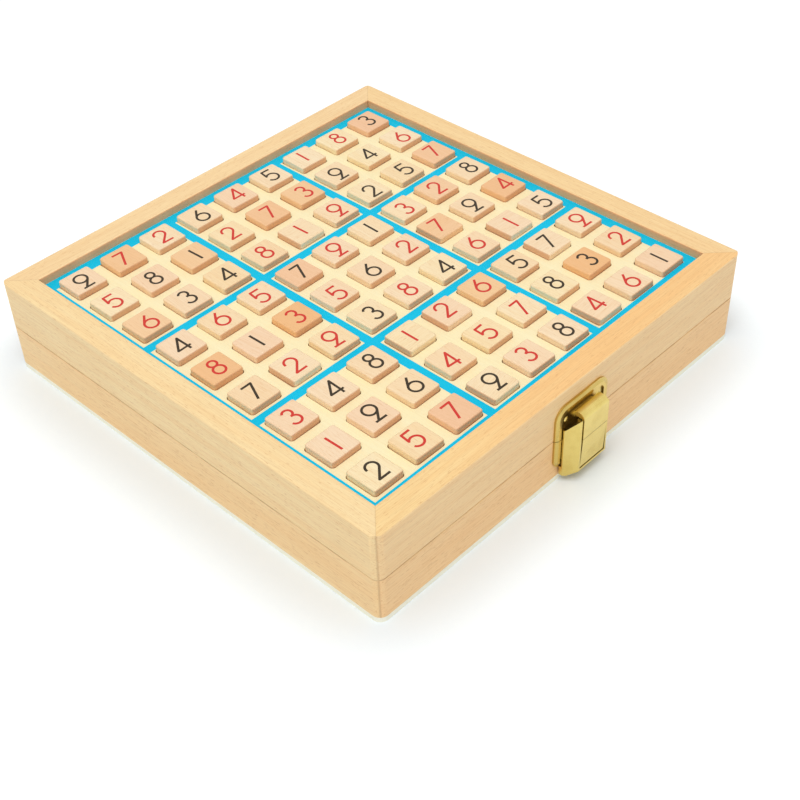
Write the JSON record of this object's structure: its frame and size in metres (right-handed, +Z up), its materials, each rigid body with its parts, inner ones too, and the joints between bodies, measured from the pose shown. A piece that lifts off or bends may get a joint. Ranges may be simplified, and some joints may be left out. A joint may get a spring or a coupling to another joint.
{
  "type": "sudoku board",
  "caption": "Square hinged wooden box whose lid is a gridded playing board with loose number tiles, closed by a brass rocker clasp, with a reversible insert board inside.",
  "frame": {"origin": "middle of the bottom panel's underside, at the middle of the square box", "axes": "+Z up; -Y is the front with the clasp; +Y is the back with the hinges; the numerals read upright with +Y at their top"},
  "size_m": [0.22, 0.2317, 0.045],
  "materials": {
    "frame_wood": "satin lacquer",
    "panel_wood": "plain, sanded",
    "board_sheet": "satin, printed lines",
    "tile_wood": "sanded, printed numerals",
    "brass": "polished plating",
    "spring_steel": "bright"
  },
  "bodies": {
    "base": {"base_rail_front": "frame_wood", "base_rail_right": "frame_wood", "base_rail_back": "frame_wood", "base_rail_left": "frame_wood", "bottom_panel": "panel_wood", "hinge_leaf_base_left": "brass", "hinge_leaf_base_right": "brass", "hinge_pin_left": "brass", "hinge_pin_right": "brass", "hinge_nails_base": "brass", "clasp_base_plate": "brass", "clasp_nails_base": "brass", "clasp_case": "brass", "clasp_pivot_pin": "spring_steel", "clasp_spring": "spring_steel"},
    "lid": {"lid_rail_front": "frame_wood", "lid_rail_right": "frame_wood", "lid_rail_back": "frame_wood", "lid_rail_left": "frame_wood", "board_backing": "panel_wood", "cell_sheet": "board_sheet", "hinge_leaf_lid_left": "brass", "hinge_leaf_lid_right": "brass", "hinge_nails_lid": "brass", "clasp_strike_plate": "brass", "clasp_nails_lid": "brass"},
    "clasp_rocker": {"clasp_rocker": "brass"},
    "insert": {"insert_core": "panel_wood", "insert_sheet_six": "board_sheet", "insert_sheet_four": "board_sheet"},
    "tiles_1": {"tiles_1": "tile_wood"},
    "tiles_2": {"tiles_2": "tile_wood"},
    "tiles_3": {"tiles_3": "tile_wood"},
    "tiles_4": {"tiles_4": "tile_wood"},
    "tiles_5": {"tiles_5": "tile_wood"},
    "tiles_6": {"tiles_6": "tile_wood"},
    "tiles_7": {"tiles_7": "tile_wood"},
    "tiles_8": {"tiles_8": "tile_wood"},
    "tiles_9": {"tiles_9": "tile_wood"}
  },
  "joints": [
    {"name": "lid_hinge", "type": "hinge", "parent": "base", "child": "lid", "pos_m": [0, 0.1121, 0.0225], "axis": [-1, 0, 0], "range_deg": [0, 180]},
    {"name": "clasp_press", "type": "hinge", "parent": "base", "child": "clasp_rocker", "pos_m": [0.002, -0.1146, 0.0225], "axis": [1, 0, 0], "range_deg": [0, 12], "stiffness_Nm_per_rad": 0.05, "springref_deg": -11.46, "deforming": ["clasp_spring"]},
    {"name": "insert_lift", "type": "slide", "parent": "base", "child": "insert", "axis": [0, 0, 1], "range_m": [0, 0.026]},
    {"name": "tiles_1_lift", "type": "slide", "parent": "lid", "child": "tiles_1", "axis": [0, 0, 1], "range_m": [0, 0.016]},
    {"name": "tiles_2_lift", "type": "slide", "parent": "lid", "child": "tiles_2", "axis": [0, 0, 1], "range_m": [0, 0.016]},
    {"name": "tiles_3_lift", "type": "slide", "parent": "lid", "child": "tiles_3", "axis": [0, 0, 1], "range_m": [0, 0.016]},
    {"name": "tiles_4_lift", "type": "slide", "parent": "lid", "child": "tiles_4", "axis": [0, 0, 1], "range_m": [0, 0.016]},
    {"name": "tiles_5_lift", "type": "slide", "parent": "lid", "child": "tiles_5", "axis": [0, 0, 1], "range_m": [0, 0.016]},
    {"name": "tiles_6_lift", "type": "slide", "parent": "lid", "child": "tiles_6", "axis": [0, 0, 1], "range_m": [0, 0.016]},
    {"name": "tiles_7_lift", "type": "slide", "parent": "lid", "child": "tiles_7", "axis": [0, 0, 1], "range_m": [0, 0.016]},
    {"name": "tiles_8_lift", "type": "slide", "parent": "lid", "child": "tiles_8", "axis": [0, 0, 1], "range_m": [0, 0.016]},
    {"name": "tiles_9_lift", "type": "slide", "parent": "lid", "child": "tiles_9", "axis": [0, 0, 1], "range_m": [0, 0.016]}
  ]
}
